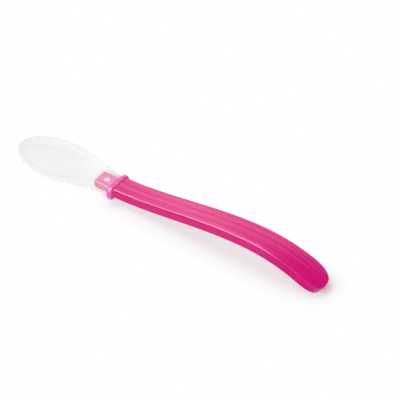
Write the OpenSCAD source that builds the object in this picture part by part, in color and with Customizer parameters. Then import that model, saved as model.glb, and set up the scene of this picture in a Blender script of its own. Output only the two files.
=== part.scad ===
// Long-handled baby spoon. A soft milky bowl is moulded over the pierced tang of a rigid, arched handle.
// The spoon lies on a table as it would at rest: +X runs from the bowl to the tail, +Y across, +Z up.
// The origin is on the table, under the middle of the spoon's length. All lengths are in millimetres.

/* [Grip] */
// Length of the grip, from the collar to the end of its tail
grip_l = 110.3; // [95:0.1:125]
// Thickness of the grip
grip_t = 5; // [4.4:0.1:6]
// Width of the grip where it leaves the collar
grip_front_w = 10.7; // [9:0.1:12]
// Width of the grip where the tail begins to round off
grip_tail_w = 13.6; // [11:0.1:16]
// How late the grip widens: 1 is an even taper, more keeps the front slender
grip_widening = 1.7; // [1:0.1:3]
// Length of the rounded end of the tail
tail_round_l = 9.9; // [6:0.1:12]
// Radius of the grip's long edges
grip_edge_r = 0.6; // [0.4:0.1:1.6]
// Radius that crowns the top of the grip across its width
grip_crown_r = 60; // [30:5:150]

/* [Arch] */
// How much higher the grip's middle stands than the collar's middle, where the two meet
grip_rise = 0.4; // [0:0.05:0.5]
// Distance from the collar to the crest of the arch
crest_x = 72; // [62:1:84]
// Height of the grip's middle above the table at the crest
crest_z = 12.65; // [10:0.05:16]
// Angle at which the tail comes down to the table
tail_angle = 32.5; // [20:0.5:38]

/* [Collar] */
// Thickness of the collar along the spoon
collar_t = 2.8; // [2.4:0.1:4]
// Width of the collar across the spoon
collar_w = 15.7; // [14:0.1:18]
// Height of the collar
collar_h = 6.9; // [6.6:0.1:8]
// Radius of the collar's corners, seen from its end
collar_corner_r = 3.1; // [2:0.1:3.2]
// Radius that rounds the collar's rim
collar_rim_r = 1.1; // [0.5:0.1:1.15]

/* [Tang] */
// Length of the tang in front of the collar
tang_l = 9.8; // [8:0.1:12]
// Width of the tang
tang_w = 8.7; // [7:0.1:9.4]
// Thickness of the tang
tang_t = 3.5; // [2.6:0.1:4.2]
// Radius of the tang's two front corners
tang_corner_r = 0.9; // [0.4:0.1:2]
// Diameter of the hole through the tang, which the soft bowl fills
tang_hole_d = 3.1; // [2:0.1:4]
// Distance from the collar to the middle of that hole
tang_hole_x = 4.9; // [4:0.1:5.5]

/* [Bowl] */
// Length of the soft bowl with its neck, from the collar to the tip
bowl_l = 58; // [50:1:66]
// Width of the bowl at its widest
bowl_w = 25.6; // [22:0.1:30]
// Distance from the collar to the widest place
widest_x = 33.4; // [28:0.1:38]
// Depth of the belly below the rim, at its deepest
bowl_depth = 7.8; // [7:0.1:10]
// Thickness of the belly's wall
bowl_wall = 1.6; // [1.2:0.1:2.4]
// Radius that rounds the rim
rim_r = 0.8; // [0.5:0.05:1.2]
// How far the rim has come down from the neck to the tip
rim_drop = 1.4; // [0:0.1:3]
// Distance from the collar to where the dish begins to sink into the neck
dish_start_x = 12.6; // [12.4:0.1:16]
// Depth of the flat that the soft belly is pressed to where it rests
belly_flat = 0.15; // [0.05:0.05:0.3]

/* [Neck] */
// Width of the neck where it meets the collar
neck_w = 11.6; // [11:0.1:13]
// Height of the neck
neck_h = 6.4; // [6:0.1:6.6]
// Radius of the neck's upper corners
neck_corner_r = 1.9; // [1:0.1:2.4]
// Gap between the tang and the bowl that is moulded round it
bond_gap = 0.03; // [0.01:0.01:0.1]

/* [Hidden] */

// Smoothness of round primitives
$fn = 64;
// How squarely the curves fill their corners: 2 is an ellipse, more is boxier
tail_fullness = 2.8;
tip_fullness = 2.13;
belly_fullness = 2.2;
neck_fullness = 4;
dish_fullness = 2.4;
// How fast the bowl's outline flares where it leaves the collar
neck_flare = 0.1;
// Hair's breadth left between the tail's lowest edge and the table
tail_gap = 0.01;
// How far a cutting shape runs past the face that it opens
overrun = 1;
// Steps along a side, round an end, over an edge, over half a crown and over a curved wall
side_steps = 40;
end_steps = 12;
edge_steps = 5;
crown_steps = 3;
neck_steps = 22;
tip_steps = 14;
wall_steps = 8;
rim_steps = 3;

// How far the tail's upper edge overhangs the end of the grip's middle plane
tail_overhang = (grip_t / 2 - grip_edge_r) * sin(tail_angle) + grip_edge_r * (norm([1, sin(tail_angle)]) - 1);
spoon_l = bowl_l + collar_t + grip_l + tail_overhang;
// The collar's two faces along X, counted from the middle of the spoon
collar_front_x = bowl_l - spoon_l / 2;
collar_back_x = collar_front_x + collar_t;
// The belly and the tail rest on the table, and between them these heights follow
rim_z = bowl_depth - belly_flat + rim_drop * widest_x / bowl_l;
collar_z = rim_z - neck_h / 2;
tail_z = (grip_t / 2 - grip_edge_r) * cos(tail_angle)
    + grip_edge_r * (norm([tan(tail_angle), cos(tail_angle)]) - tan(tail_angle)) + tail_gap;

// A smooth step from 0 to 1 that starts and ends level
function ease(u) = let (v = min(max(u, 0), 1)) v * v * (3 - 2 * v);

// A curve from height z0 to z1, where rise0 and rise1 are its end slopes times its span
function hermite(u, z0, z1, rise0, rise1) =
    z0 + (z1 - z0) * ease(u) + rise0 * u * pow(1 - u, 2) - rise1 * pow(u, 2) * (1 - u);

// The slope of the same curve over its span
function hermite_slope(u, z0, z1, rise0, rise1, span) =
    ((z1 - z0) * 6 * u * (1 - u) + rise0 * (1 - u) * (1 - 3 * u) + rise1 * u * (3 * u - 2)) / span;

// A quarter of a superellipse: [along, across], from [0, 1] at 0 degrees to [1, 0] at 90
function quarter(a, fullness) = [pow(sin(a), 2 / fullness), pow(cos(a), 2 / fullness)];

// The outward normal there, for a quarter that is long by wide
function quarter_normal(a, fullness, long, wide) =
    let (n = [pow(sin(a), 2 - 2 / fullness) / long, pow(cos(a), 2 - 2 / fullness) / wide])
    n / norm(n);

// Keeps a triangle only if its three corners differ
function whole(t) = t[0] != t[1] && t[1] != t[2] && t[2] != t[0];

// Two triangles for every cell of a grid of points, where id names the point at row i and place k
function grid_faces(rows, places, id) = [
    for (i = [0 : rows - 1], k = [0 : places - 1])
        let (a = id(i, k), b = id(i, k + 1), c = id(i + 1, k + 1), d = id(i + 1, k))
        for (t = [[a, b, c], [a, c, d]]) if (whole(t)) t
];

// The grip's middle plane, a distance s behind the collar: its height and its slope in degrees
drop_l = grip_l - crest_x;
start_z = collar_z + grip_rise;
tail_rise = -tan(tail_angle) * drop_l;
function arch_z(s) = s < crest_x
    ? hermite(max(s, 0) / crest_x, start_z, crest_z, 0, 0)
    : hermite((s - crest_x) / drop_l, crest_z, tail_z, 0, tail_rise);
function arch_angle(s) = s < crest_x
    ? atan(hermite_slope(max(s, 0) / crest_x, start_z, crest_z, 0, 0, crest_x))
    : atan(hermite_slope((s - crest_x) / drop_l, crest_z, tail_z, 0, tail_rise, drop_l));

// The grip's outline in plan, one side of it: [distance along, half width, normal along, normal across]
round_start = grip_l - tail_round_l;
grip_outline = [
    [-collar_t / 2, grip_front_w / 2, 0, 1],
    for (i = [0 : side_steps])
        let (u = i / side_steps)
        [round_start * u, (grip_front_w + (grip_tail_w - grip_front_w) * pow(u, grip_widening)) / 2, 0, 1],
    for (i = [1 : end_steps])
        let (
            a = 90 * i / end_steps,
            q = quarter(a, tail_fullness),
            n = quarter_normal(a, tail_fullness, tail_round_l, grip_tail_w / 2)
        )
        [round_start + tail_round_l * q[0], grip_tail_w / 2 * q[1], n[0], n[1]]
];

// The grip's edge from its underside to its shoulder, where the crowned top leans by an angle:
// [distance in from the outline, height from the middle plane]
function grip_edge(lean) = [
    for (side = [-1, 1], i = [0 : edge_steps])
        let (a = side < 0 ? -90 + 90 * i / edge_steps : (90 - lean) * i / edge_steps)
        [grip_edge_r * (1 - cos(a)), side * (grip_t / 2 - grip_edge_r) + grip_edge_r * sin(a)]
];

// Height of the crown's arc above its own centre, at a place y across the grip
function crown_z(y) = sqrt(pow(grip_crown_r, 2) - pow(y, 2));

// A point of the grip in the spoon's frame, bent onto the arch
function bent(s, y, h) =
    [collar_back_x + s - h * sin(arch_angle(s)), y, arch_z(s) + h * cos(arch_angle(s))];

// One side of a ring of the grip, from its edge at the underside to the middle of its crowned top
function grip_side(o) = let (
    lean = asin((o[1] - grip_edge_r * o[3]) / (grip_crown_r - grip_edge_r)),
    edge = [for (e = grip_edge(lean)) [o[0] - e[0] * o[2], o[1] - e[0] * o[3], e[1]]],
    shoulder = edge[len(edge) - 1]
) [
    each edge,
    for (i = [crown_steps - 1 : -1 : 0])
        let (y = shoulder[1] * i / crown_steps)
        [shoulder[0], y, shoulder[2] + crown_z(y) - crown_z(shoulder[1])]
];

// One ring of the grip: the underside's middle, up one side, over the top and down the other side
function grip_ring(o) = let (side = grip_side(o), top = len(side) - 1) [
    bent(side[0][0], 0, side[0][2]),
    for (p = side) bent(p[0], -p[1], p[2]),
    for (i = [top - 1 : -1 : 0]) bent(side[i][0], side[i][1], side[i][2])
];

// The arched grip, lofted along its outline and closed like a seam at the end of the tail
module grip() {
    edge_places = 2 * (edge_steps + 1);
    places = 2 * (edge_places + crown_steps);
    rows = len(grip_outline) - 1;
    id = function (i, k)
        let (p = k % places)
        i < rows ? i * places + p : i * places + min(max(min(p, places - p), 1), edge_places);
    front = [for (k = [places : -1 : 1]) k % places];
    polyhedron([for (o = grip_outline) each grip_ring(o)], concat([front], grid_faces(rows, places, id)));
}

// The collar's rim seen in section, from its middle out to its rounded edge
module collar_profile() {
    square([collar_corner_r - collar_rim_r, collar_t]);
    translate([0, collar_rim_r]) square([collar_corner_r, collar_t - 2 * collar_rim_r]);
    for (y = [collar_rim_r, collar_t - collar_rim_r])
        translate([collar_corner_r - collar_rim_r, y]) circle(collar_rim_r);
}

// The collar that stops the neck: a flat cushion of four round corners joined by straight bars
module collar() {
    reach_y = collar_w / 2 - collar_corner_r;
    reach_z = collar_h / 2 - collar_corner_r;
    translate([collar_front_x, 0, collar_z]) rotate([90, 0, 90]) {
        translate([-reach_y, -reach_z]) cube([2 * reach_y, 2 * reach_z, collar_t]);
        for (sy = [-1, 1], sz = [-1, 1])
            translate([sy * reach_y, sz * reach_z]) rotate_extrude() collar_profile();
        for (side = [0, 180]) rotate([0, 0, side]) {
            translate([reach_y, reach_z]) rotate([90, 0, 0])
                linear_extrude(2 * reach_z) collar_profile();
            translate([-reach_y, reach_z]) rotate([90, 0, 90])
                linear_extrude(2 * reach_y) collar_profile();
        }
    }
}

// The tang in plan, grown all round by a gap and run back past the collar's face
module tang_plan(gap, back) {
    r = tang_corner_r + gap;
    y = tang_w / 2 + gap - r;
    front = collar_front_x - tang_l - gap;
    translate([front, -y]) square([tang_l + gap + back, 2 * y]);
    translate([front + r, -y - r]) square([tang_l + gap + back - r, 2 * (y + r)]);
    for (s = [-1, 1]) translate([front + r, s * y]) circle(r);
}

module tang_block(gap, back) {
    translate([0, 0, collar_z - tang_t / 2 - gap])
        linear_extrude(tang_t + 2 * gap) tang_plan(gap, back);
}

// A pin on the axis of the tang's hole, as long as is asked
module hole_pin(d, l) {
    translate([collar_front_x - tang_hole_x, 0, collar_z - l / 2]) cylinder(d = d, h = l);
}

// The rigid moulding: grip, collar and pierced tang in one piece
module handle() {
    color([0.86, 0.12, 0.46]) difference() {
        union() {
            grip();
            collar();
            tang_block(0, collar_t / 2);
        }
        hole_pin(tang_hole_d, tang_t + 2 * overrun);
    }
}

// Values of the bowl a distance b in front of the collar
function rim_at(b) = rim_z - rim_drop * b / bowl_l;
function deepening(b) = ease((b - dish_start_x) / (widest_x - dish_start_x));
function edge_at(b) = neck_corner_r + (rim_r - neck_corner_r) * ease(b / dish_start_x);
function fullness_at(b) = neck_fullness + (belly_fullness - neck_fullness) * ease(b / widest_x);

// The bowl's outline in plan, one side of it: [distance, half width, normal along, normal across]
tip_l = bowl_l - widest_x;
bowl_side = [
    for (i = [0 : neck_steps])
        let (u = i / neck_steps)
        [widest_x * u, hermite(u, neck_w, bowl_w, neck_flare * widest_x, 0) / 2, 0, 1],
    for (i = [1 : tip_steps])
        let (
            a = 90 * i / tip_steps,
            q = quarter(a, tip_fullness),
            n = quarter_normal(a, tip_fullness, tip_l, bowl_w / 2)
        )
        [widest_x + tip_l * q[0], bowl_w / 2 * q[1], n[0], n[1]]
];

// A point of the bowl in the spoon's frame, from its distance, its place across and its depth below the rim
function in_bowl(b, y, depth) = [collar_front_x - b, y, rim_at(b) - depth];

// One spoke of the bowl: from under the middle, out over the belly, round the rim and back down the dish
function spoke(o) = let (
    hub = min(o[0], widest_x),
    r = edge_at(hub),
    sunk = deepening(hub),
    belly = neck_h + (bowl_depth - neck_h) * sunk,
    dish = (bowl_depth - bowl_wall) * sunk,
    lip = r * min(1, 2 * sunk),
    full = fullness_at(hub),
    inner = [o[0] - 2 * r * o[2], o[1] - 2 * r * o[3]]
) [
    for (i = [0 : wall_steps])
        let (q = quarter(90 * i / wall_steps, full))
        in_bowl(hub + (o[0] - hub) * q[0], o[1] * q[0], r + (belly - r) * q[1]),
    for (i = [1 : rim_steps])
        let (a = 90 * i / rim_steps, in = r * (1 - cos(a)))
        in_bowl(o[0] - in * o[2], o[1] - in * o[3], r * (1 - sin(a))),
    for (i = [1 : rim_steps])
        let (a = 90 + 90 * i / rim_steps, in = r * (1 - cos(a)))
        in_bowl(o[0] - in * o[2], o[1] - in * o[3], lip * (1 - sin(a))),
    for (i = [1 : wall_steps])
        let (q = quarter(90 - 90 * i / wall_steps, dish_fullness))
        in_bowl(hub + (inner[0] - hub) * q[0], inner[1] * q[0], lip + (dish - lip) * q[1])
];

// The bowl and its neck before they are hollowed for the tang
module bowl_form() {
    half = len(bowl_side) - 1;
    places = wall_steps * 2 + rim_steps * 2;
    other = [for (i = [half - 1 : -1 : 0]) [for (p = spoke(bowl_side[i])) [p[0], -p[1], p[2]]]];
    points = concat([for (o = bowl_side) each spoke(o)], [for (s = other) each s]);
    id = function (i, k)
        let (row = k % places == 0 ? min(i, 2 * half - i, neck_steps) : i)
        row * (places + 1) + k;
    back = [
        for (k = [0 : places]) id(0, k),
        for (k = [places - 1 : -1 : 1]) id(2 * half, k)
    ];
    polyhedron(points, concat([back], grid_faces(2 * half, places, id)));
}

// The soft moulding: a shallow dish, its neck, and the plug that fills the tang's hole
module bowl() {
    table_l = bowl_l + 2 * overrun;
    color([0.93, 0.93, 0.91]) difference() {
        intersection() {
            bowl_form();
            translate([collar_front_x - bond_gap - table_l, -bowl_w, 0]) cube([table_l, 2 * bowl_w, 2 * bowl_depth]);
        }
        difference() {
            tang_block(bond_gap, overrun);
            hole_pin(tang_hole_d - 2 * bond_gap, tang_t + 2 * overrun);
        }
    }
}

handle();
bowl();
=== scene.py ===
# %% [markdown]
# # A long-handled baby spoon
# The spoon is two mouldings. A hard, tinted pink handle is made first: an arched grip, a collar that keeps
# the fingers off the bowl, and a short tang with a hole. A soft, milky bowl is then moulded over the tang,
# and flows through its hole so that it can't pull off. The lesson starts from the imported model, which says
# where each piece lies. Each piece is then made again as a fine, smooth mesh in the same place.

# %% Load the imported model
import math

import bmesh
import bpy
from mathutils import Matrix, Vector


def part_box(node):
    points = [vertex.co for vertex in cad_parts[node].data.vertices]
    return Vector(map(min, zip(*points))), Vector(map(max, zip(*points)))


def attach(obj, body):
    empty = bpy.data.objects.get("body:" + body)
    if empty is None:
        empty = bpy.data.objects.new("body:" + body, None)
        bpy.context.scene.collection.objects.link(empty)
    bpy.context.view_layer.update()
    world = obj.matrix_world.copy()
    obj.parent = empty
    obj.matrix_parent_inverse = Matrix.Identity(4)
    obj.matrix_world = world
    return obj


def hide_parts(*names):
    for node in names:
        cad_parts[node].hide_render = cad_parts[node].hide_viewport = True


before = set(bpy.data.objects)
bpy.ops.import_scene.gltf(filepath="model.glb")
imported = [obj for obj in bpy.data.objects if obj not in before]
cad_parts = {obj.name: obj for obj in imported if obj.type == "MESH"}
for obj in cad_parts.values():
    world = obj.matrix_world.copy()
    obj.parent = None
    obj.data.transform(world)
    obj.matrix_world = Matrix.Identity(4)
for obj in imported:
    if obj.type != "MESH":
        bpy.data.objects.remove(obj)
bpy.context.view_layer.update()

bowl_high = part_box("bowl")[1]
handle_low, handle_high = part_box("handle")

# %% [markdown]
# ## The sizes of the spoon
# A designer writes down a few driving sizes, and works the rest out from them. They are all in metres, as
# Blender counts. "Along" is always the distance from the collar: backwards on the grip, forwards on the bowl.

# %% Sizes of the handle
GRIP_LENGTH = 0.1103
GRIP_THICKNESS = 0.005
GRIP_FRONT_WIDTH = 0.0107
GRIP_TAIL_WIDTH = 0.0136
GRIP_WIDENING = 1.7
GRIP_EDGE_RADIUS = 0.0006
GRIP_CROWN_RADIUS = 0.060
TAIL_ROUND_LENGTH = 0.0099
TAIL_FULLNESS = 2.8
TAIL_ANGLE = math.radians(32.5)
CREST_ALONG = 0.072
CREST_HEIGHT = 0.01265
GRIP_RISE = 0.0004
COLLAR_THICKNESS = 0.0028
COLLAR_WIDTH = 0.0157
COLLAR_HEIGHT = 0.0069
COLLAR_CORNER_RADIUS = 0.0031
COLLAR_RIM_RADIUS = 0.0011
COLLAR_FILLET = 0.0003
TANG_LENGTH = 0.0098
TANG_WIDTH = 0.0087
TANG_THICKNESS = 0.0035
TANG_CORNER_RADIUS = 0.0009
TANG_EDGE_RADIUS = 0.0003
TANG_HOLE_DIAMETER = 0.0031
TANG_HOLE_ALONG = 0.0049
print("handle, mm long:", round(1000 * (TANG_LENGTH + COLLAR_THICKNESS + GRIP_LENGTH), 1))

# %% Sizes of the bowl
BOWL_LENGTH = 0.058
BOWL_WIDTH = 0.0256
WIDEST_ALONG = 0.0334
BOWL_DEPTH = 0.0078
BOWL_WALL = 0.0016
RIM_RADIUS = 0.0008
RIM_DROP = 0.0014
DISH_START = 0.0126
NECK_WIDTH = 0.0116
NECK_HEIGHT = 0.0064
NECK_CORNER_RADIUS = 0.0019
NECK_FLARE = 0.1
NECK_FULLNESS = 4
TIP_FULLNESS = 2.13
BELLY_FULLNESS = 2.2
DISH_FULLNESS = 2.4
BOND_GAP = 0.00003
print("bowl, mm long and wide:", round(1000 * BOWL_LENGTH, 1), round(1000 * BOWL_WIDTH, 1))

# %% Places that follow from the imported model
collar_front = bowl_high.x + BOND_GAP
collar_back = collar_front + COLLAR_THICKNESS
rim_height = bowl_high.z
collar_middle = rim_height - NECK_HEIGHT / 2
grip_front_middle = collar_middle + GRIP_RISE
edge_half = GRIP_THICKNESS / 2 - GRIP_EDGE_RADIUS
tail_middle = handle_low.z + edge_half * math.cos(TAIL_ANGLE) + GRIP_EDGE_RADIUS * (
    math.hypot(math.tan(TAIL_ANGLE), math.cos(TAIL_ANGLE)) - math.tan(TAIL_ANGLE))
print("collar's faces at x, mm:", round(1000 * collar_front, 2), round(1000 * collar_back, 2))

# %% [markdown]
# ## The camera
# The spoon is seen from above its tail end, through a long lens that flattens the view. The camera is set by
# what can be read in a picture: two angles, the lens's angle of view, the scale at one point and the pixel
# where that point lies. The point is on the table under the back of the collar.

# %% Make the camera
VIEW_AZIMUTH = math.radians(34.06)
VIEW_ELEVATION = math.radians(41.4)
FIELD_OF_VIEW = math.radians(20)
PICTURE_PIXELS = 400
PIXELS_PER_METRE = 2100
ANCHOR_PIXEL_ACROSS = 120.8
ANCHOR_PIXEL_DOWN = 196.6

right = Vector((math.cos(VIEW_AZIMUTH), math.sin(VIEW_AZIMUTH), 0))
forward = Vector((
    -math.sin(VIEW_AZIMUTH) * math.cos(VIEW_ELEVATION),
    math.cos(VIEW_AZIMUTH) * math.cos(VIEW_ELEVATION),
    -math.sin(VIEW_ELEVATION)))
up = right.cross(forward)
focal_pixels = PICTURE_PIXELS / 2 / math.tan(FIELD_OF_VIEW / 2)
across = (ANCHOR_PIXEL_ACROSS - PICTURE_PIXELS / 2) / focal_pixels
above = (PICTURE_PIXELS / 2 - ANCHOR_PIXEL_DOWN) / focal_pixels
anchor = Vector((collar_back, 0, 0))
camera_place = anchor - (forward + across * right + above * up) * focal_pixels / PIXELS_PER_METRE

camera = bpy.data.objects.new("camera", bpy.data.cameras.new("camera"))
camera.data.angle = FIELD_OF_VIEW
camera.location = camera_place
camera.rotation_euler = forward.to_track_quat("-Z", "Y").to_euler()
camera.data.clip_start = 0.01
camera.data.clip_end = 50
bpy.context.scene.collection.objects.link(camera)
bpy.context.scene.camera = camera
print("camera, mm:", [round(1000 * place) for place in camera_place])

# %% [markdown]
# ## Curves that both pieces use
# Three small formulas draw every outline here. A smooth step blends one size into another. A cubic curve runs
# between two heights with given slopes, as a bent wire does. A superellipse rounds an end or a wall: it is
# an ellipse whose fullness can be raised until it is nearly a box. Plain round edges take a quarter circle.

# %% Smooth step, cubic curve and superellipse
def between(first, last, share):
    """The value a share of the way from first to last."""
    return first + (last - first) * share


def ease(share):
    """A smooth step, which leaves nought and reaches one without a kink."""
    share = min(max(share, 0), 1)
    return share * share * (3 - 2 * share)


def cubic(share, start, end, rise_start, rise_end):
    """A height between start and end, where the rises are the end slopes times the span."""
    return (between(start, end, ease(share)) + rise_start * share * (1 - share) ** 2
            - rise_end * share ** 2 * (1 - share))


def round_edge(radius, angle):
    """How far a point of a rounded edge lies in from the two faces that the edge joins."""
    return radius * (1 - math.cos(angle)), radius * (1 - math.sin(angle))


def quarter(angle, fullness):
    """A quarter of a superellipse, from (0, 1) at no angle to (1, 0) at a right angle."""
    return max(math.sin(angle), 0) ** (2 / fullness), max(math.cos(angle), 0) ** (2 / fullness)


def quarter_normal(angle, fullness, long, wide):
    """The outward direction there, for a quarter that is long by wide."""
    lengthwise = max(math.sin(angle), 0) ** (2 - 2 / fullness) / long
    crosswise = max(math.cos(angle), 0) ** (2 - 2 / fullness) / wide
    size = math.hypot(lengthwise, crosswise)
    return lengthwise / size, crosswise / size


def steps(first, last, count):
    """Evenly spaced values from first to last, both included."""
    return [first * (1 - i / count) + last * i / count for i in range(count + 1)]


print("a smooth step, tenth by tenth:", [round(ease(share), 2) for share in steps(0, 1, 10)])

# %% [markdown]
# ## Skinning rows of points
# A moulded shape without flat sides is easiest to make as rows of points with a skin of quads between them.
# Rows that close on themselves make a tube, and points that fall together are merged, which closes the ends.

# %% Skin a shape over its rows
MERGE_DISTANCE = 1e-7
SHARP_ANGLE = math.radians(38)


def skin(name, rows, closed, caps=()):
    """A mesh object over rows of equally many points. closed joins each row's end to its start."""
    shape = bmesh.new()
    grid = [[shape.verts.new(point) for point in row] for row in rows]
    width = len(rows[0])
    for near, far in zip(grid, grid[1:]):
        for k in range(width if closed else width - 1):
            n = (k + 1) % width
            shape.faces.new((near[k], near[n], far[n], far[k]))
    for row in caps:
        shape.faces.new(grid[row])
    bmesh.ops.remove_doubles(shape, verts=shape.verts, dist=MERGE_DISTANCE)
    bmesh.ops.dissolve_degenerate(shape, edges=shape.edges, dist=MERGE_DISTANCE)
    bmesh.ops.recalc_face_normals(shape, faces=shape.faces)
    mesh = bpy.data.meshes.new(name)
    shape.to_mesh(mesh)
    open_edges = sum(1 for edge in shape.edges if not edge.is_manifold)
    shape.free()
    for face in mesh.polygons:
        face.use_smooth = True
    mesh.set_sharp_from_angle(angle=SHARP_ANGLE)
    piece = bpy.data.objects.new(name, mesh)
    bpy.context.scene.collection.objects.link(piece)
    print(name, "has", len(mesh.polygons), "faces and", open_edges, "open edges")
    return piece

# %% [markdown]
# ## The line of the grip
# The grip rises from the collar to a crest, and comes down to the table at its tail. Two cubic curves that
# meet level at the crest give that line, and each cross-section stands square to it.

# %% Height and slope of the grip's middle
drop_length = GRIP_LENGTH - CREST_ALONG
SLOPE_PROBE = 1e-6


def arch_height(along):
    if along < CREST_ALONG:
        return cubic(max(along, 0) / CREST_ALONG, grip_front_middle, CREST_HEIGHT, 0, 0)
    rise = -math.tan(TAIL_ANGLE) * drop_length
    return cubic((along - CREST_ALONG) / drop_length, CREST_HEIGHT, tail_middle, 0, rise)


def arch_angle(along):
    inside = min(along, GRIP_LENGTH - SLOPE_PROBE)
    return math.atan((arch_height(inside + SLOPE_PROBE) - arch_height(inside)) / SLOPE_PROBE)


def on_arch(along, across, height):
    """A point of the grip, a distance behind the collar and a height above the bent middle plane."""
    angle = arch_angle(along)
    return Vector((
        collar_back + along - height * math.sin(angle),
        across,
        arch_height(along) + height * math.cos(angle)))


def in_front(along, across, height):
    """A point of the collar or the tang, which stand straight."""
    return Vector((collar_back + along, across, collar_middle + height))


print("crest of the grip at z, mm:", round(1000 * arch_height(CREST_ALONG), 2))

# %% [markdown]
# ## One cross-section of the handle
# Tang, collar and grip have the same kind of cross-section: a box with round corners, and on the grip a top
# that is crowned by a large arc. So one function draws all of them, with the same number of points each, and
# a single skin can run from the tang's tip to the tail. The crown matters for the looks: it is only a third
# of a millimetre high, but it bends the reflections across the grip.

# %% Draw a cross-section
OUTWARD_SHARES = [0, 0.3, 0.55, 0.75, 0.88, 0.96]
UPWARD_SHARES = [-0.9, -0.45, 0, 0.45, 0.9]
CORNER_STEPS = 8


def corner(half_height, radius, lean):
    """The side from its lower to its upper corner: inset from the outline, and height."""
    inner = half_height - radius
    low = steps(-math.pi / 2, 0, CORNER_STEPS)
    high = steps(0, math.pi / 2 - lean, CORNER_STEPS)
    return (
        [(radius * (1 - math.cos(angle)), radius * math.sin(angle) - inner) for angle in low]
        + [(0, share * inner) for share in UPWARD_SHARES]
        + [(radius * (1 - math.cos(angle)), radius * math.sin(angle) + inner) for angle in high])


def crown_height(reach):
    return math.sqrt(GRIP_CROWN_RADIUS ** 2 - reach ** 2)


def section(along, half_width, half_height, radius, crowned=False, ahead=0, aside=1):
    """A closed row of places. ahead and aside are the outline's outward direction, seen from above."""
    lean = math.asin((half_width - radius * aside) / (GRIP_CROWN_RADIUS - radius)) if crowned else 0
    side = [(along - inset * ahead, max(half_width - inset * aside, 0), height)
            for inset, height in corner(half_height, radius, lean)]
    foot, shoulder = side[0], side[-1]
    under = [(foot[0], share * foot[1], foot[2]) for share in OUTWARD_SHARES]
    over = []
    for share in reversed(OUTWARD_SHARES):
        rise = crown_height(share * shoulder[1]) - crown_height(shoulder[1]) if crowned else 0
        over.append((shoulder[0], share * shoulder[1], shoulder[2] + rise))
    half = under + side + over
    other = [(place, -reach, height) for place, reach, height in reversed(half[1:-1])]
    return half + other


front_section = section(0, GRIP_FRONT_WIDTH / 2, GRIP_THICKNESS / 2, GRIP_EDGE_RADIUS)
print("points in a cross-section:", len(front_section))

# %% [markdown]
# ## The handle
# The rows run from the tang's tip, over the collar and along the grip. At the collar the cross-section
# steps out and in again: its rim is a quarter circle in front and one behind, and small fillets fill the
# inner corners as in a real mould. Round the tail the rows fan out square to the outline.

# %% Rows of the tang and the collar
TANG_STEPS = 6
RIM_STEPS = 8

tang_tip = -COLLAR_THICKNESS - TANG_LENGTH
tang_end = -COLLAR_THICKNESS - COLLAR_FILLET


def tang_row(along, narrowed=0, lowered=0):
    return section(along, TANG_WIDTH / 2 - narrowed, TANG_THICKNESS / 2 - lowered, TANG_EDGE_RADIUS)


def tang_rows():
    """A tip with rounded corners, and straight sides from there to the collar."""
    rows = []
    for angle in steps(0, math.pi / 2, TANG_STEPS):
        back, narrowed = round_edge(TANG_CORNER_RADIUS, angle)
        lowered = round_edge(TANG_EDGE_RADIUS, angle)[1]
        rows.append(tang_row(tang_tip + back, narrowed, lowered))
    for along in steps(tang_tip + 2 * TANG_CORNER_RADIUS, tang_end, TANG_STEPS):
        rows.append(tang_row(along))
    return rows


def collar_row(along, shrink):
    half_width, half_height = COLLAR_WIDTH / 2 - shrink, COLLAR_HEIGHT / 2 - shrink
    return section(along, half_width, half_height, COLLAR_CORNER_RADIUS - shrink)


def collar_rows():
    """A quarter circle of rim in front, and another behind."""
    rows = []
    for angle in steps(0, math.pi / 2, RIM_STEPS):
        back, shrink = round_edge(COLLAR_RIM_RADIUS, angle)
        rows.append(collar_row(-COLLAR_THICKNESS + back, shrink))
    for angle in steps(math.pi / 2, 0, RIM_STEPS):
        back, shrink = round_edge(COLLAR_RIM_RADIUS, angle)
        rows.append(collar_row(-back, shrink))
    return rows


print("rows on the tang:", len(tang_rows()), "and on the collar:", len(collar_rows()))

# %% Rows of the grip
FILLET_STEPS = 5
GRIP_STEPS = 150
TAIL_STEPS = 44
straight = GRIP_LENGTH - TAIL_ROUND_LENGTH


def grip_width(along):
    share = max(along, 0) / straight
    return between(GRIP_FRONT_WIDTH, GRIP_TAIL_WIDTH, share ** GRIP_WIDENING)


def grip_row(along, half_width, out=0, ahead=0, aside=1):
    half_height = GRIP_THICKNESS / 2 + out
    return section(along, half_width + out, half_height, GRIP_EDGE_RADIUS, True, ahead, aside)


def grip_rows():
    """The fillet behind the collar, the widening bar, and the fan round the tail."""
    half_tail = GRIP_TAIL_WIDTH / 2
    rows = []
    for angle in steps(0, math.pi / 2, FILLET_STEPS):
        back, out = round_edge(COLLAR_FILLET, angle)
        rows.append(grip_row(back, GRIP_FRONT_WIDTH / 2, out))
    for along in steps(2 * COLLAR_FILLET, straight, GRIP_STEPS):
        rows.append(grip_row(along, grip_width(along) / 2))
    for angle in steps(0, math.pi / 2, TAIL_STEPS)[1:]:
        along, reach = quarter(angle, TAIL_FULLNESS)
        ahead, aside = quarter_normal(angle, TAIL_FULLNESS, TAIL_ROUND_LENGTH, half_tail)
        rows.append(grip_row(straight + TAIL_ROUND_LENGTH * along, half_tail * reach, 0, ahead, aside))
    return rows


handle = skin(
    "handle_looks",
    [[in_front(*place) for place in row] for row in tang_rows() + collar_rows()]
    + [[on_arch(*place) for place in row] for row in grip_rows()],
    closed=True, caps=[0])

# %% [markdown]
# ## The hole in the tang
# The hole is where the soft bowl grips the handle. It is drilled through the finished skin with a Boolean,
# because that leaves the rest of the mesh as it is.

# %% Drill the hole
HOLE_SIDES = 64
hole_along = -COLLAR_THICKNESS - TANG_HOLE_ALONG


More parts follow.
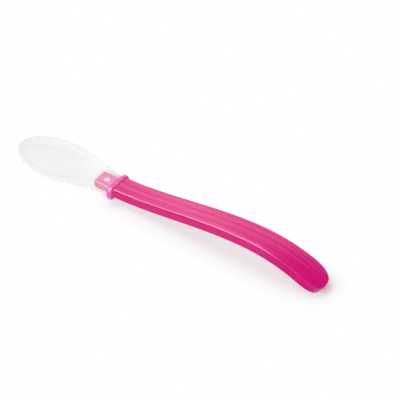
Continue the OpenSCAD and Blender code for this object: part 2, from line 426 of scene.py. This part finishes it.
def drill(piece, along, radius, depth):
    """Cuts an upright hole through the piece, with a pin that is deleted afterwards."""
    pin_mesh = bpy.data.meshes.new("pin")
    pin = bmesh.new()
    bmesh.ops.create_cone(pin, cap_ends=True, segments=HOLE_SIDES, radius1=radius, radius2=radius,
                          depth=depth)
    bmesh.ops.translate(pin, verts=pin.verts, vec=in_front(along, 0, 0))
    pin.to_mesh(pin_mesh)
    pin.free()
    cutter = bpy.data.objects.new("pin", pin_mesh)
    bpy.context.scene.collection.objects.link(cutter)
    cut = piece.modifiers.new("hole", "BOOLEAN")
    cut.object = cutter
    cut.operation = "DIFFERENCE"
    cut.solver = "EXACT"
    done = bpy.data.meshes.new_from_object(piece.evaluated_get(bpy.context.evaluated_depsgraph_get()))
    piece.modifiers.clear()
    piece.data = done
    done.name = piece.name
    done.set_sharp_from_angle(angle=SHARP_ANGLE)
    bpy.data.objects.remove(cutter)
    print(piece.name, "has", len(done.polygons), "faces once drilled")


drill(handle, hole_along, TANG_HOLE_DIAMETER / 2, 2 * TANG_THICKNESS)

# %% [markdown]
# ## The bowl
# Seen from above, the bowl is an outline that swells from the neck to its widest place and then rounds off to
# the tip. Each point of the outline has a spoke, which runs under the belly, round the rim and back over
# the dish. On the neck the spokes lie side by side, and round the tip they fan out from the widest place.

# %% Sizes that change along the bowl
def rim_at(along):
    """The height of the rim, which falls a little towards the tip."""
    return rim_height - RIM_DROP * along / BOWL_LENGTH


def sunk_at(along):
    """Nought on the neck, and one where the dish has its full depth."""
    return ease((along - DISH_START) / (WIDEST_ALONG - DISH_START))


def lip_radius_at(along):
    return between(NECK_CORNER_RADIUS, RIM_RADIUS, ease(along / DISH_START))


def fullness_at(along):
    return between(NECK_FULLNESS, BELLY_FULLNESS, ease(along / WIDEST_ALONG))


print("rim at the tip, mm above the table:", round(1000 * rim_at(BOWL_LENGTH), 2))

# %% Outline and spokes of the bowl
NECK_STEPS = 110
TIP_STEPS = 56
WALL_STEPS = 26
LIP_STEPS = 7
tip_length = BOWL_LENGTH - WIDEST_ALONG


def bowl_outline():
    """One side of the outline: distance, half width and the outward direction ahead and aside."""
    points = []
    for share in steps(0, 1, NECK_STEPS):
        width = cubic(share, NECK_WIDTH, BOWL_WIDTH, NECK_FLARE * WIDEST_ALONG, 0)
        points.append((WIDEST_ALONG * share, width / 2, 0, 1))
    for angle in steps(0, math.pi / 2, TIP_STEPS)[1:]:
        along, reach = quarter(angle, TIP_FULLNESS)
        ahead, aside = quarter_normal(angle, TIP_FULLNESS, tip_length, BOWL_WIDTH / 2)
        points.append((WIDEST_ALONG + tip_length * along, BOWL_WIDTH / 2 * reach, ahead, aside))
    return points


def spoke(along, reach, ahead, aside):
    """Points from under the middle, over the belly, round the rim and back over the dish."""
    hub = min(along, WIDEST_ALONG)
    radius = lip_radius_at(hub)
    sunk = sunk_at(hub)
    belly = between(NECK_HEIGHT, BOWL_DEPTH, sunk)
    dish = (BOWL_DEPTH - BOWL_WALL) * sunk
    lip = radius * min(1, 2 * sunk)
    inner_along = along - 2 * radius * ahead
    inner_reach = reach - 2 * radius * aside
    points = []
    for angle in steps(0, math.pi / 2, WALL_STEPS):
        out, down = quarter(angle, fullness_at(hub))
        points.append((between(hub, along, out), reach * out, between(radius, belly, down)))
    for angle in steps(0, math.pi, 2 * LIP_STEPS)[1:]:
        inset = radius * (1 - math.cos(angle))
        fall = radius if angle < math.pi / 2 else lip
        points.append((along - inset * ahead, reach - inset * aside, fall * (1 - math.sin(angle))))
    for angle in steps(math.pi / 2, 0, WALL_STEPS)[1:]:
        out, down = quarter(angle, DISH_FULLNESS)
        points.append((between(hub, inner_along, out), inner_reach * out, between(lip, dish, down)))
    return points


def placed(points, side):
    """The spoke's points in the spoon's frame, on one side, with the belly pressed flat on the table."""
    return [Vector((collar_front - max(along, BOND_GAP), side * reach, max(rim_at(along) - depth, 0)))
            for along, reach, depth in points]


def bowl_rows():
    """The spokes from the neck round the tip and back, one side after the other."""
    outline = bowl_outline()
    rows = [placed(spoke(*point), 1) for point in outline]
    return rows + [placed(spoke(*point), -1) for point in reversed(outline[:-1])]


def make_bowl():
    """Skins the spokes, and closes the open end against the collar with one face."""
    piece = skin("bowl_looks", bowl_rows(), closed=False)
    shape = bmesh.new()
    shape.from_mesh(piece.data)
    rim = [edge for edge in shape.edges if edge.is_boundary]
    bmesh.ops.edgeloop_fill(shape, edges=rim)
    bmesh.ops.recalc_face_normals(shape, faces=shape.faces)
    for face in shape.faces:
        face.smooth = True
    shape.to_mesh(piece.data)
    print("bowl has", sum(1 for edge in shape.edges if not edge.is_manifold), "open edges once closed")
    shape.free()
    piece.data.set_sharp_from_angle(angle=SHARP_ANGLE)
    return piece


bowl = make_bowl()

# %% [markdown]
# ## The plug in the tang's hole
# The silicone of the neck runs on through the hole. Seen from above it is as deep as the tang is thick, so it
# looks much whiter than the thin walls, and that is why the hole shows as a white dot. It gets a mesh of
# its own, so that it can have that whiter finish.

# %% Turn the plug
PLUG_RINGS = 4
plug_radius = TANG_HOLE_DIAMETER / 2 - BOND_GAP


def ring(radius, height):
    return [in_front(hole_along + radius * math.cos(turn), radius * math.sin(turn), height)
            for turn in steps(0, 2 * math.pi, HOLE_SIDES)[:-1]]


def make_plug():
    """Rings from the middle of the top out to its edge, and back in below."""
    top = TANG_THICKNESS / 2
    rows = [ring(radius, top) for radius in steps(0, plug_radius, PLUG_RINGS)]
    rows += [ring(radius, -top) for radius in steps(plug_radius, 0, PLUG_RINGS)]
    return skin("plug_looks", rows, closed=True)


plug = make_plug()

# %% [markdown]
# ## Helpers for the finishes
# Every finish here is one Principled shader, with a few procedural nodes that feed its inputs. A plain shader
# comes first, and then the small tools that join nodes. They work on a material, and on the room as well. A
# ramp turns one value smoothly into another, a blend mixes two colours or two values, and the noise can be
# drawn out along an axis, as a mould draws out its marks. Places are counted in the spoon's own frame, so
# that a finish can tell the collar, the tang and the tail apart.

# %% A plain shader to start from
def finish(name, colour, **sockets):
    """A material with one Principled shader, and the values of its inputs."""
    material = bpy.data.materials.new(name)
    material.use_nodes = True
    shader = material.node_tree.nodes["Principled BSDF"]
    shader.inputs["Base Color"].default_value = (*colour, 1)
    for socket, value in sockets.items():
        shader.inputs[socket.replace("_", " ")].default_value = value
    return material, shader


def add_node(material, kind, **values):
    """A new node, with the values of its inputs."""
    node = material.node_tree.nodes.new(kind)
    for socket, value in values.items():
        node.inputs[socket].default_value = value
    return node


def join(material, source, target):
    material.node_tree.links.new(source, target)


def feed(material, given, target):
    """Joins a socket to an input, or sets the input to a number, a direction or a colour."""
    if isinstance(given, bpy.types.NodeSocket):
        join(material, given, target)
    elif target.type == "RGBA":
        target.default_value = (*given, 1)
    else:
        target.default_value = given

# %% Sums, ramps and blends
def reckon(material, operation, *values):
    """The result of one sum on values that are each a number or a socket."""
    node = add_node(material, "ShaderNodeMath")
    node.operation = operation
    for target, value in zip(node.inputs, values):
        feed(material, value, target)
    return node.outputs["Value"]


def product(material, first, second):
    return reckon(material, "MULTIPLY", first, second)


def ramp(material, source, low, high, first, last):
    """Turns a value between low and high smoothly into one between first and last."""
    node = add_node(material, "ShaderNodeMapRange")
    node.interpolation_type = "SMOOTHSTEP"
    for socket, value in zip(("From Min", "From Max", "To Min", "To Max"), (low, high, first, last)):
        node.inputs[socket].default_value = value
    join(material, source, node.inputs["Value"])
    return node.outputs["Result"]


def blend(material, share, first, last, kind="RGBA"):
    """Mixes two colours, or two values or directions where kind says so."""
    node = add_node(material, "ShaderNodeMix")
    node.data_type = kind
    join(material, share, node.inputs["Factor"])
    feed(material, first, node.inputs["A"])
    feed(material, last, node.inputs["B"])
    return node.outputs["Result"]

# %% Places, directions and noise
def place_on(material, axis):
    """Where a point lies along one axis of the spoon's frame."""
    place = add_node(material, "ShaderNodeTexCoord")
    parts = add_node(material, "ShaderNodeSeparateXYZ")
    join(material, place.outputs["Object"], parts.inputs["Vector"])
    return parts.outputs[axis]


def ramp_along(material, start, end, first, last):
    """A ramp along the spoon, between two places on its length."""
    return ramp(material, place_on(material, "X"), start, end, first, last)


def ramp_aside(material, start, end, first, last):
    """A ramp to both sides, between two distances from the spoon's middle."""
    aside = reckon(material, "ABSOLUTE", place_on(material, "Y"))
    return ramp(material, aside, start, end, first, last)


def distance_to(material, point):
    """How far the surface is from a point of the spoon's frame."""
    place = add_node(material, "ShaderNodeTexCoord")
    distance = add_node(material, "ShaderNodeVectorMath")
    distance.operation = "DISTANCE"
    join(material, place.outputs["Object"], distance.inputs[0])
    feed(material, point, distance.inputs[1])
    return distance.outputs["Value"]


def facing(material, axis):
    """How far the surface faces along one axis, and its whole direction."""
    form = add_node(material, "ShaderNodeNewGeometry")
    parts = add_node(material, "ShaderNodeSeparateXYZ")
    join(material, form.outputs["Normal"], parts.inputs["Vector"])
    return parts.outputs[axis], form.outputs["Normal"]


def noise(material, scale, detail, stretch=(1, 1, 1)):
    """Noise in the spoon's frame, drawn out where an axis is counted less."""
    place = add_node(material, "ShaderNodeTexCoord")
    mapping = add_node(material, "ShaderNodeMapping", Scale=stretch)
    grain = add_node(material, "ShaderNodeTexNoise", Scale=scale, Detail=detail)
    join(material, place.outputs["Object"], mapping.inputs["Vector"])
    join(material, mapping.outputs["Vector"], grain.inputs["Vector"])
    return grain.outputs["Fac"]

# %% [markdown]
# ## The handle's tinted plastic
# The handle is polished, tinted plastic. Its colour comes from inside, so light spreads a little under the
# surface, and the surface itself mirrors. It could be made as real, refracting plastic, but its pink is so
# deep that nothing is seen through the bar, so a tinted surface is as true and far quicker. More light comes
# through where the plastic is thin, and in the collar and the tang, so a paler pink is painted there as a
# glow.
# The painted glow is strongest at the collar's two ends and on the grip's sides just behind the collar. The
# tang's rounded edges have a painted highlight, and the sides of the tang and of the tail have a painted
# shade.
# The mould leaves faint lengthwise flow marks, which break up the reflections on the top, and the rounded
# edges shine more than the flat sides.

# %% The pinks, and where they change
PINK = (0.73, 0.004, 0.212)
# A painted glow: the pink is painted paler where the plastic is thin, for the light that comes through.
THIN_GLOW_PINK = (0.9, 0.13, 0.4)
THIN_BELOW = 0.0035
THICK_SHARE = 0.2
# The collar's paler pinks are a painted glow of the light that comes through, strongest at its two ends.
COLLAR_GLOW_PINK = (0.82, 0.085, 0.38)
COLLAR_PINK_BEFORE = 0.0001
COLLAR_PINK_BEHIND = 0.0003
COLLAR_END_GLOW_PINK = (0.95, 0.17, 0.48)
COLLAR_END_FROM = 0.005
COLLAR_END_TO = 0.0065
CREASE_GLOW_LENGTH = 0.002
# The tang's top, paler with the same painted glow.
TANG_GLOW_PINK = (0.76, 0.07, 0.33)
# A painted shade on the tang's sides, and a painted highlight along its rounded edges.
TANG_SIDE_SHADE_PINK = (0.74, 0.002, 0.24)
TANG_EDGE_HIGHLIGHT_PINK = (1, 0.5, 0.78)
# A painted shade on the sides of the tail, which lie close to the shaded table.
TAIL_SIDE_SHADE_PINK = (0.68, 0.003, 0.19)
TAIL_SIDE_FROM = 0.052
TAIL_SIDE_TO = 0.07


def front_tint(material, on_top, on_side):
    """The collar, with a painted glow that is strongest at its two ends, and the tang, with a painted glow on
    top, painted highlights on its edges and painted shade on its sides.
    """
    glow_at_end = ramp_aside(material, COLLAR_END_FROM, COLLAR_END_TO, 0, 1)
    collar_glow_tint = blend(material, glow_at_end, COLLAR_GLOW_PINK, COLLAR_END_GLOW_PINK)
    # Painted highlight on the tang's edges, and painted shade on its sides.
    painted_edge_and_side = blend(material, on_side, TANG_EDGE_HIGHLIGHT_PINK, TANG_SIDE_SHADE_PINK)
    tang_light_and_shade = blend(material, on_top, painted_edge_and_side, TANG_GLOW_PINK)
    on_collar = ramp_along(material, collar_front - COLLAR_FILLET, collar_front, 0, 1)
    return blend(material, on_collar, tang_light_and_shade, collar_glow_tint)


def grip_tint(material, on_side, at_tail):
    """The grip: a painted glow where it is thin and on its sides by the collar, and painted shade on the
    tail's sides.
    """
    inside = add_node(material, "ShaderNodeAmbientOcclusion", Distance=THIN_BELOW)
    inside.inside = True
    thick = ramp(material, inside.outputs["AO"], 0, THICK_SHARE, 0, 1)
    # Painted glow on the grip's sides just behind the collar, where the crease would otherwise lie in shade.
    crease_glow = ramp_along(material, collar_back, collar_back + CREASE_GLOW_LENGTH, 1, 0)
    body = blend(material, product(material, on_side, at_tail), PINK, TAIL_SIDE_SHADE_PINK)
    body = blend(material, product(material, on_side, crease_glow), body, COLLAR_GLOW_PINK)
    return blend(material, thick, THIN_GLOW_PINK, body)

# %% The gloss and the flow marks
EDGE_GLOSS = 0.6
SIDE_GLOSS = 0.27
TAIL_SIDE_GLOSS = 0.12
FLOW_SCALE = 500
FLOW_DETAIL = 2
FLOW_STRETCH = (0.02, 1, 0)
FLOW_RANGE = (0.35, 0.65)
FLOW_GLOSS = (0.22, 0.54)
FLOW_DEPTH = 0.0004
FLOW_STRENGTH = 0.6


def plastic_gloss(material, on_top, on_side, at_tail, flow):
    """Glossy edges, flatter sides that are dullest at the tail, and a top that the flow marks vary."""
    side_gloss = blend(material, at_tail, SIDE_GLOSS, TAIL_SIDE_GLOSS, "FLOAT")
    edge_gloss = blend(material, on_side, EDGE_GLOSS, side_gloss, "FLOAT")
    top_gloss = ramp(material, flow, *FLOW_RANGE, *FLOW_GLOSS)
    return blend(material, on_top, edge_gloss, top_gloss, "FLOAT")


def flow_bump(material, on_top, flow):
    """The shallow waves of the flow marks, on the top alone."""
    bump = add_node(material, "ShaderNodeBump", Distance=FLOW_DEPTH)
    join(material, ramp(material, on_top, 0, 1, 0, FLOW_STRENGTH), bump.inputs["Strength"])
    join(material, flow, bump.inputs["Height"])
    return bump.outputs["Normal"]

# %% The handle's tinted plastic
PLASTIC_IOR = 1.45
INNER_LIGHT = 0.3
INNER_LIGHT_REACH = 0.002
INNER_LIGHT_COLOURS = (1, 0.4, 0.6)
TOP_ROUGHNESS = 0.18
EDGE_ROUGHNESS = 0.28
COLLAR_ROUGHNESS = 0.45
TOP_LEAN = (0.1, 0.25)
SIDE_LEAN = (0.75, 0.95)


def pink_plastic():
    """One finish for tang, collar and grip, told apart by place and by how the surface faces."""
    material, shader = finish(
        "pink_plastic", PINK, Roughness=TOP_ROUGHNESS, IOR=PLASTIC_IOR, Subsurface_Weight=INNER_LIGHT,
        Subsurface_Radius=INNER_LIGHT_COLOURS, Subsurface_Scale=INNER_LIGHT_REACH)
    on_grip = ramp_along(material, collar_back - COLLAR_PINK_BEFORE, collar_back + COLLAR_PINK_BEHIND, 0, 1)
    at_tail = ramp_along(material, TAIL_SIDE_FROM, TAIL_SIDE_TO, 0, 1)
    sideways = reckon(material, "ABSOLUTE", facing(material, "Y")[0])
    on_top = ramp(material, sideways, *TOP_LEAN, 1, 0)
    on_side = ramp(material, sideways, *SIDE_LEAN, 0, 1)
    flow = noise(material, FLOW_SCALE, FLOW_DETAIL, FLOW_STRETCH)
    tint = blend(material, on_grip, front_tint(material, on_top, on_side),
                 grip_tint(material, on_side, at_tail))
    join(material, tint, shader.inputs["Base Color"])
    gloss = plastic_gloss(material, on_top, on_side, at_tail, flow)
    join(material, gloss, shader.inputs["Specular IOR Level"])
    grip_roughness = ramp(material, on_top, 0, 1, EDGE_ROUGHNESS, TOP_ROUGHNESS)
    roughness = blend(material, on_grip, COLLAR_ROUGHNESS, grip_roughness, "FLOAT")
    join(material, roughness, shader.inputs["Roughness"])
    join(material, flow_bump(material, on_top, flow), shader.inputs["Normal"])
    return material

# %% [markdown]
# ## The bowl's milky silicone
# The thin walls of the bowl let much of the light straight through and scatter the rest. The shader's alpha
# does that plainly: each wall hides a little over a third of what lies behind it, and two walls hide more, as
# on the real bowl. Real silicone also spreads the light inside, so its shading is very even. That could come
# from subsurface scattering, but on such thin walls it renders in blotches. So the shading direction is
# blended towards straight up where the surface faces up, and steep parts, which get less light, are painted
# whiter as painted light. The far side of the neck has a painted white glow, and a painted pink glow
# surrounds the tang. The plug is as deep as the tang, so it lets nothing through.

# %% Where the silicone changes colour
# How far the painted pink glow round the tang reaches.
TANG_GLOW_REACH = 0.0016
FAR_NECK_ALONG = 0.012
GLOW_FULL_WITHIN = 0.003
GLOW_GONE_BEYOND = 0.026
GLOW_GONE_ASIDE = -0.001
GLOW_FULL_ASIDE = 0.006


def near_tang_glow(material):
    """One over the tang, and nought a little way outside it: where the painted pink glow lies."""
    tip, side = collar_front - TANG_LENGTH, TANG_WIDTH / 2
    lengthwise = ramp_along(material, tip - TANG_GLOW_REACH, tip + TANG_GLOW_REACH / 2, 0, 1)
    crosswise = ramp_aside(material, side - TANG_GLOW_REACH / 2, side + TANG_GLOW_REACH, 1, 0)
    return product(material, lengthwise, crosswise)


def far_neck_glow(material):
    """One at the far side of the neck, and fading out over the bowl: where the painted white glow lies."""
    away = distance_to(material, (collar_front - FAR_NECK_ALONG, GLOW_FULL_ASIDE, collar_middle))
    close = ramp(material, away, GLOW_FULL_WITHIN, GLOW_GONE_BEYOND, 1, 0)
    beyond = ramp(material, place_on(material, "Y"), GLOW_GONE_ASIDE, GLOW_FULL_ASIDE, 0, 1)
    return product(material, close, beyond)

# %% A satin silicone
SILICONE_IOR = 1.41
SILICONE_GLOSS = 0.2
SILICONE_ROUGHNESS = 0.55
SATIN_SCALE = 220
SATIN_DETAIL = 3
SATIN_RANGE = (0.3, 0.7)
SATIN_ROUGHNESS = (0.5, 0.6)


def satin_silicone(name, colour, cloudiness):
    """Soft, dull silicone, with a surface that is slightly uneven, as a blasted mould leaves it."""
    material, shader = finish(name, colour, Roughness=SILICONE_ROUGHNESS, IOR=SILICONE_IOR,
                              Alpha=cloudiness, Specular_IOR_Level=SILICONE_GLOSS)
    satin = noise(material, SATIN_SCALE, SATIN_DETAIL)
    join(material, ramp(material, satin, *SATIN_RANGE, *SATIN_ROUGHNESS), shader.inputs["Roughness"])
    return material, shader

# %% The bowl's milky silicone, and the plug's
MILKY = (0.77, 0.77, 0.76)
# Steep parts get less light, so they are painted whiter: painted light.
STEEP_PAINTED_LIGHT_MILKY = (0.98, 0.98, 0.97)
STEEP_LEAN = (0.15, 0.9)
# A painted white glow on the far side of the neck.
FAR_NECK_GLOW_MILKY = (0.9, 0.9, 0.89)
# A painted pink glow of the tang's light scattered into the silicone.
PINK_GLOW_NEAR_TANG = (0.8, 0.5, 0.62)
CLOUDINESS = 0.36
# The plug's own deep white, with a painted pink glow from the pink walls of the hole.
PLUG_WHITE_WITH_PINK_GLOW = (0.97, 0.76, 0.87)
PLUG_CLOUDINESS = 1
STRAIGHT_UP = (0, 0, 1)
EVENED_LEAN = (0.3, 0.9)
EVENNESS = 0.9


def level_normal(material):
    """The form's own direction, blended towards straight up wherever the surface faces up."""
    up_share, direction = facing(material, "Z")
    evened = ramp(material, up_share, *EVENED_LEAN, 0, EVENNESS)
    return blend(material, evened, direction, STRAIGHT_UP, "VECTOR")


def milky_silicone():
    material, shader = satin_silicone("milky_silicone", MILKY, CLOUDINESS)
    # level marks how level the surface is. The steep parts are painted whiter, as painted light.
    level = ramp(material, facing(material, "Z")[0], *STEEP_LEAN, 0, 1)
    tint = blend(material, far_neck_glow(material), MILKY, FAR_NECK_GLOW_MILKY)
    tint = blend(material, level, STEEP_PAINTED_LIGHT_MILKY, tint)
    tint = blend(material, near_tang_glow(material), tint, PINK_GLOW_NEAR_TANG)
    join(material, tint, shader.inputs["Base Color"])
    join(material, level_normal(material), shader.inputs["Normal"])
    return material


def plug_silicone():
    return satin_silicone("plug_silicone", PLUG_WHITE_WITH_PINK_GLOW, PLUG_CLOUDINESS)[0]

# %% [markdown]
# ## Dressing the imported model
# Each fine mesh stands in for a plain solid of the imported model, and rides on the one rigid body. The real
# bowl lets so much light through that it casts hardly any shadow, so its mesh neither shades the table nor
# dims the light between its own walls.

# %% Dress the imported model
def dress(piece, material, node):
    piece.data.materials.clear()
    piece.data.materials.append(material)
    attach(piece, "root")
    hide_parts(node)
    print(piece.name, "stands in for", node, "and wears", material.name)


dress(handle, pink_plastic(), "handle")
dress(bowl, milky_silicone(), "bowl")
dress(plug, plug_silicone(), "bowl")
bowl.visible_shadow = False
bowl.visible_diffuse = False

# %% [markdown]
# ## The table
# The spoon lies on a large white sheet. Matt white alone takes the spoon's shadow too darkly, because real
# paper and the tinted plastic pass light on into it. So for the camera a little over half of the sheet beside
# the grip is a plain glow, and the rest is matt and keeps the shadow. The glow is a touch cool there, because
# the matt share takes on some pink from the handle. Farther off the whole sheet is a white glow, and close
# behind the tail, where little light comes round, there is hardly any. Mirror images get less of it, as they
# look at the shaded part close to the spoon. The sheet lies a hair below the spoon, so that it and the flat
# of the belly don't share one plane.

# %% Where the sheet glows
GLOW_SHARE_BESIDE = 0.61
SHADE_WITHIN = 0.009
SHADE_GONE_BEYOND = 0.019
SHADE_ALONG = 0.012
GLOW_SHARE_AT_TAIL = 0.24
TAIL_SHADE_BEHIND = 0.0004
TAIL_SHADE_ASIDE = 0.004
TAIL_SHADE_WITHIN = 0.003
TAIL_SHADE_BEYOND = 0.0088
OTHER_GLOW_SHARES = {"Is Glossy Ray": 0.1, "Is Transmission Ray": 0.5}


def beside_grip(material):
    """One on the sheet beside the grip, and nought farther off and past the grip's two ends."""
    behind_collar = ramp_along(material, collar_front - SHADE_ALONG, collar_front, 0, 1)
    before_end = ramp_along(material, handle_high.x, handle_high.x + SHADE_ALONG, 1, 0)
    close = ramp_aside(material, SHADE_WITHIN, SHADE_GONE_BEYOND, 1, 0)
    return product(material, product(material, behind_collar, before_end), close)


def glow_share(material, beside):
    """How much of the sheet is glow: by place for the camera, and less in mirror images."""
    tail_shade = (handle_high.x + TAIL_SHADE_BEHIND, TAIL_SHADE_ASIDE, 0)
    off_tail = ramp(material, distance_to(material, tail_shade), TAIL_SHADE_WITHIN, TAIL_SHADE_BEYOND,
                    GLOW_SHARE_AT_TAIL, 1)
    seen = product(material, off_tail, blend(material, beside, 1, GLOW_SHARE_BESIDE, "FLOAT"))
    path = add_node(material, "ShaderNodeLightPath")
    share = product(material, path.outputs["Is Camera Ray"], seen)
    for kind, part in OTHER_GLOW_SHARES.items():
        share = reckon(material, "MULTIPLY_ADD", path.outputs[kind], part, share)
    return share

# %% Make the floor
FLOOR_SIZE = 8
FLOOR_GAP = 0.00002
WHITE = (1, 1, 1)
GLOW_BESIDE = (0.97, 1, 1)


def plain_material(name):
    """A material with nothing in it but its output."""
    material = bpy.data.materials.new(name)
    material.use_nodes = True
    material.node_tree.nodes.clear()
    return material, material.node_tree.nodes.new("ShaderNodeOutputMaterial")


def white_sheet():
    """A mix of a matt white and a glow, in which the glow has the share worked out above."""
    material, out = plain_material("white_sheet")
    beside = beside_grip(material)
    matt = add_node(material, "ShaderNodeBsdfDiffuse", Color=(*WHITE, 1))
    glow = add_node(material, "ShaderNodeEmission", Strength=1)
    join(material, blend(material, beside, WHITE, GLOW_BESIDE), glow.inputs["Color"])
    mix = add_node(material, "ShaderNodeMixShader")
    join(material, glow_share(material, beside), mix.inputs["Fac"])
    join(material, matt.outputs["BSDF"], mix.inputs[1])
    join(material, glow.outputs["Emission"], mix.inputs[2])
    join(material, mix.outputs["Shader"], out.inputs["Surface"])
    return material


ends = (-FLOOR_SIZE / 2, FLOOR_SIZE / 2)
floor = skin("floor", [[(end, side, -FLOOR_GAP) for end in ends] for side in ends], closed=False)
floor.data.materials.append(white_sheet())

# %% [markdown]
# ## The paper backdrop
# A glossy thing shows what it mirrors. Behind the spoon, from left to right, hangs a white paper backdrop: a
# part of a sphere, with its brightness written on its points. It is bright up to an uneven edge, with a
# dimmer veil above the edge, and dark at the foot. The front of the grip mirrors the bright part, which is
# its pale sheen. The tail mirrors the dark studio above the paper, and that is why it looks deep pink. The
# paper could light the spoon too, but it is only mirrored here, so that its brightness can be set for the
# sheen alone.

# %% Hang the paper backdrop
PAPER_DISTANCE = 1.6
PAPER_FROM = -75
PAPER_TO = 75
PAPER_TURN_STEPS = 100
PAPER_RISE_STEPS = 50
PAPER_TOP = 62
PAPER_LIGHT = 2.2
PAPER_FADE = 8
FOOT_LIGHT = 0.1
FOOT_TOP = 12
FOOT_FADE = 10
PAPER_EDGE = [(-75, 50), (-42, 50), (-36, 41), (-30, 40), (-21, 44.5), (-8, 47), (0, 46.5), (8, 43.5),
              (14, 40.5), (20, 36), (26, 31), (32, 26), (42, 10), (75, 0)]
VEIL = [(-75, 0.7), (-30, 0.6), (-17, 0.47), (-7, 0.33), (3, 0.22), (13, 0.12), (23, 0.04), (32, 0),
        (75, 0)]


def toward(azimuth, elevation):
    """A direction from the spoon, in degrees. Azimuth 0 is behind the spoon, and 90 is beyond its tail."""
    turn, rise = math.radians(azimuth), math.radians(elevation)
    return Vector((math.sin(turn) * math.cos(rise), math.cos(turn) * math.cos(rise), math.sin(rise)))


def read_off(table, azimuth):
    """A value between the two nearest entries of a table."""
    for (start, low), (end, high) in zip(table, table[1:]):
        if azimuth <= end:
            return between(low, high, (azimuth - start) / (end - start))
    return table[-1][1]


def paper_light(azimuth, elevation):
    """Full light up to the paper's edge, where it is half faded, and above it the veil."""
    lit = ease((read_off(PAPER_EDGE, azimuth) - elevation) / PAPER_FADE + 0.5)
    foot = between(FOOT_LIGHT, 1, ease((elevation - FOOT_TOP) / FOOT_FADE))
    return PAPER_LIGHT * between(read_off(VEIL, azimuth), 1, lit) * foot


def lit_paper():
    """A material that glows as brightly as its points say."""
    material, out = plain_material("lit_paper")
    level = add_node(material, "ShaderNodeAttribute")
    level.attribute_name = "light"
    glow = add_node(material, "ShaderNodeEmission")
    join(material, level.outputs["Fac"], glow.inputs["Strength"])
    join(material, glow.outputs["Emission"], out.inputs["Surface"])
    return material


def make_paper():
    azimuths = steps(PAPER_FROM, PAPER_TO, PAPER_TURN_STEPS)
    elevations = steps(0, PAPER_TOP, PAPER_RISE_STEPS)
    paper = skin("paper", [[PAPER_DISTANCE * toward(azimuth, elevation) for azimuth in azimuths]
                           for elevation in elevations], closed=False)
    light = paper.data.attributes.new("light", "FLOAT", "POINT")
    for vertex, value in zip(paper.data.vertices, light.data):
        azimuth = math.degrees(math.atan2(vertex.co.x, vertex.co.y))
        elevation = math.degrees(math.asin(vertex.co.z / PAPER_DISTANCE))
        value.value = paper_light(azimuth, elevation)
    paper.data.materials.append(lit_paper())
    paper.visible_camera = False
    paper.visible_diffuse = False
    paper.visible_shadow = False


make_paper()

# %% [markdown]
# ## The lamps
# A softbox beyond the bowl and a wide one overhead light the spoon, and a dim one fills in from the front.
# Together with the room they light the sheet to about one, the level at which a colour renders as it is
# written. A bright card beyond the bowl is mirrored as the thin line along the near edge, and lights nothing.

# %% Hang the softboxes
def softbox(name, azimuth, elevation, distance, width, height, radiance):
    """A lamp that faces the spoon, with the brightness of its face."""
    away = toward(azimuth, elevation)
    lamp = bpy.data.lights.new(name, "AREA")
    lamp.shape = "RECTANGLE"
    lamp.size = width
    lamp.size_y = height
    lamp.energy = radiance * math.pi * width * height
    box = bpy.data.objects.new(name, lamp)
    box.location = away * distance
    box.rotation_euler = (-away).to_track_quat("-Z", "Y").to_euler()
    bpy.context.scene.collection.objects.link(box)
    print(name, "hangs at", [round(side, 2) for side in box.location])
    return box


softbox("softbox", azimuth=-88, elevation=60, distance=1.6, width=0.7, height=0.75, radiance=4.4)
softbox("front_fill", azimuth=180, elevation=38, distance=1.8, width=1.5, height=1.0, radiance=1.7)
overhead = softbox("overhead", azimuth=-10, elevation=74, distance=1.6, width=1.8, height=1.6, radiance=0.65)
overhead.visible_glossy = False
glint = softbox("glint_card", azimuth=-98, elevation=67, distance=1.5, width=1.3, height=1.1, radiance=16)
glint.visible_diffuse = False

# %% [markdown]
# ## The room
# The rest of the room gives soft light from all sides to matt surfaces, and is nearly dark in mirror images.
# Seen by the camera itself, beyond the edge of the sheet, it is plain white. The light path tells these
# apart.

# %% Light the room
STUDIO_FILL = 0.45
STUDIO_MIRRORED = 0.02
STUDIO_SEEN = 1

studio = bpy.data.worlds.new("studio")
bpy.context.scene.world = studio
studio.use_nodes = True
room = studio.node_tree.nodes["Background"]
feed(studio, WHITE, room.inputs["Color"])
room_path = add_node(studio, "ShaderNodeLightPath")
room_light = ramp(studio, room_path.outputs["Is Glossy Ray"], 0, 1, STUDIO_FILL, STUDIO_MIRRORED)
seen_light = blend(studio, room_path.outputs["Is Camera Ray"], room_light, STUDIO_SEEN, "FLOAT")
join(studio, seen_light, room.inputs["Strength"])
bpy.context.scene.view_settings.view_transform = "Standard"
print("the room's light on matt surfaces:", STUDIO_FILL, "and in mirror images:", STUDIO_MIRRORED)
